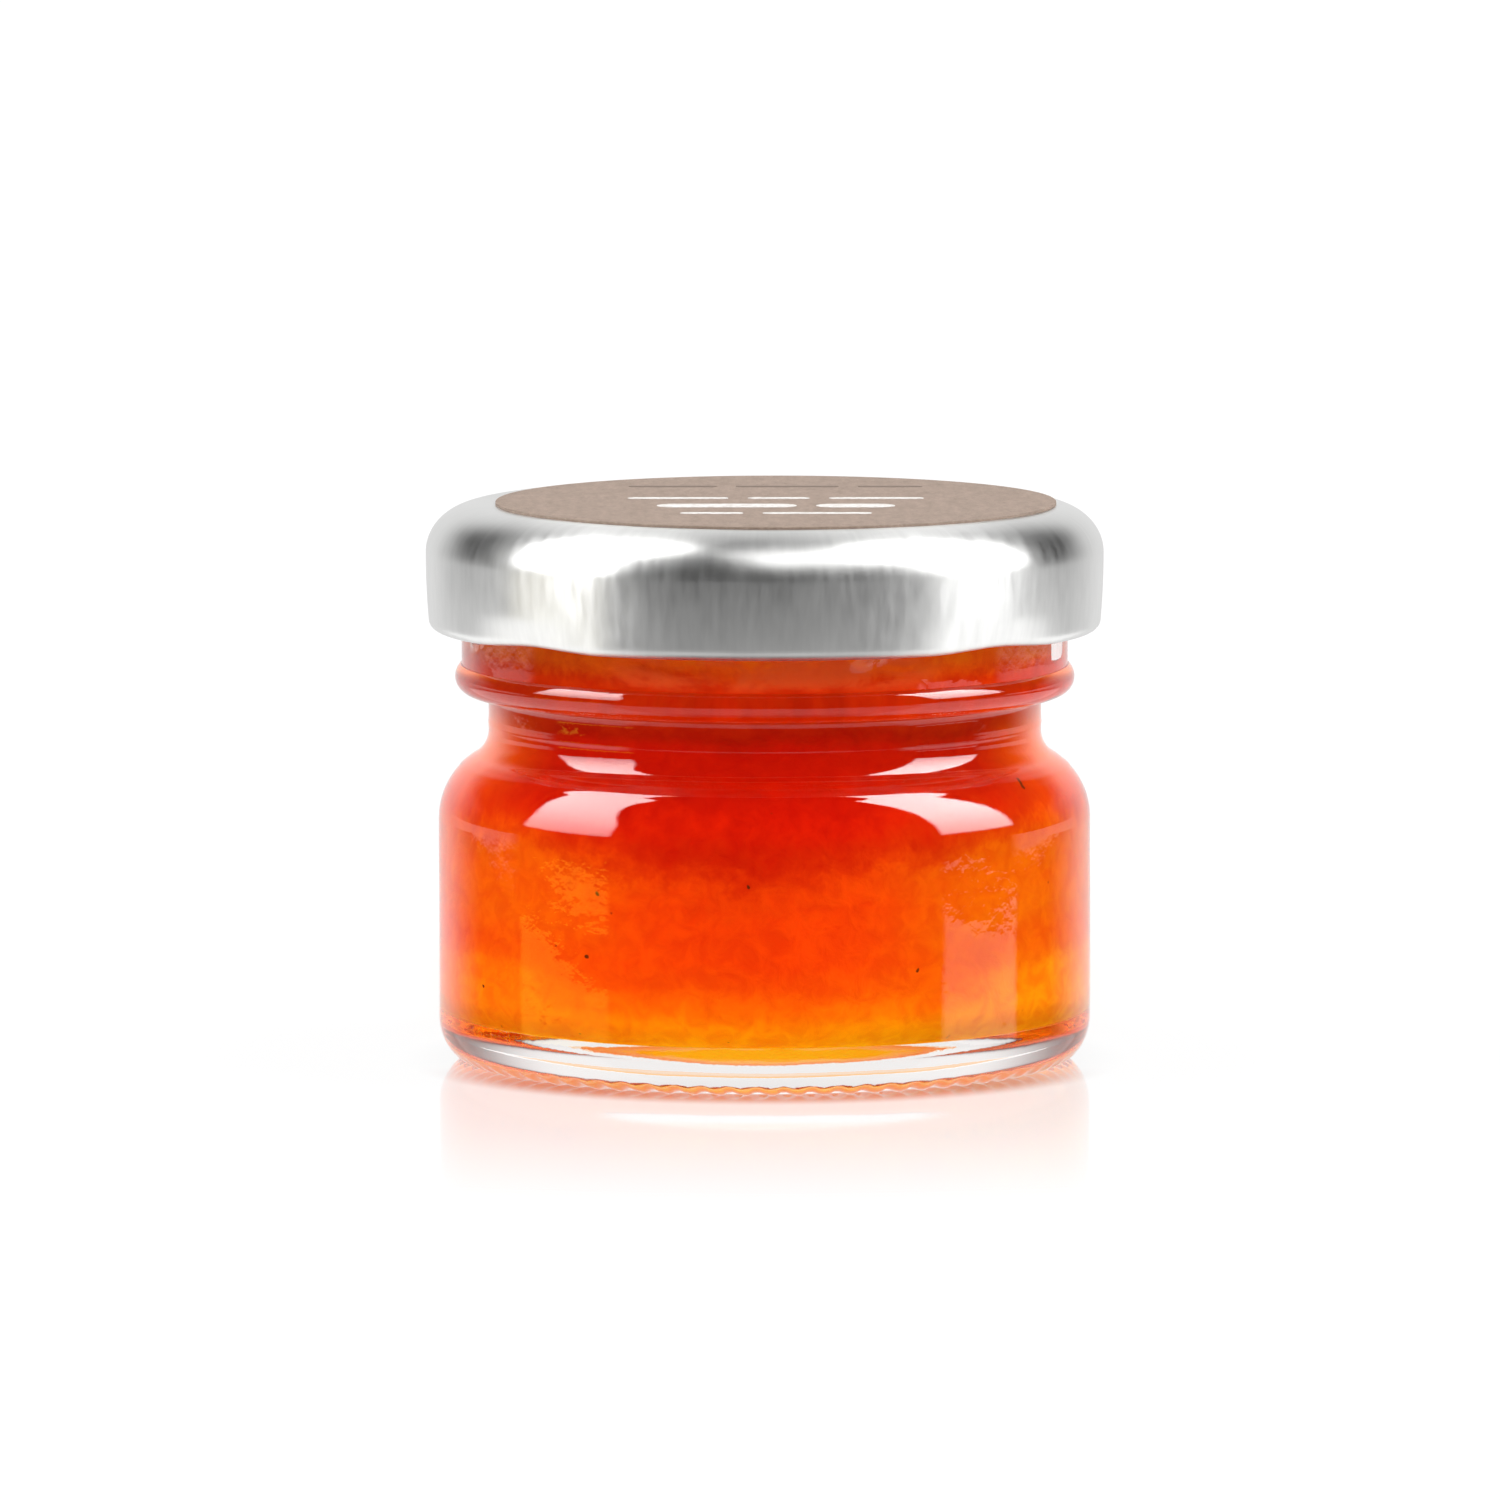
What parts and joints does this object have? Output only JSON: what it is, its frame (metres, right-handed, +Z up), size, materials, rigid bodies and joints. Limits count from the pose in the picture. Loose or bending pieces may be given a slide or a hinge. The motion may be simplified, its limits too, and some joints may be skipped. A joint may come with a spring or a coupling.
{
  "type": "jar of apricot jam",
  "caption": "Small round glass jar filled with apricot jam, with a thick clear base, a narrow neck, a brushed metal twist-off lid and a plain round brown paper label on top.",
  "frame": {"origin": "middle of the base, on the surface the jar stands on", "axes": "+Z up along the axis of the jar, -Y towards the viewer"},
  "size_m": [0.0456, 0.0456, 0.0378],
  "materials": {
    "glass": "clear, smooth and glossy",
    "jam": "wet, translucent orange-red jelly with fruit pulp",
    "lid_metal": "satin silver tinplate",
    "label_paper": "matt grained paper with plain white marks"
  },
  "bodies": {
    "root": {"glass_jar": "glass", "jam": "jam", "lid": "lid_metal", "label": "label_paper"}
  },
  "joints": []
}
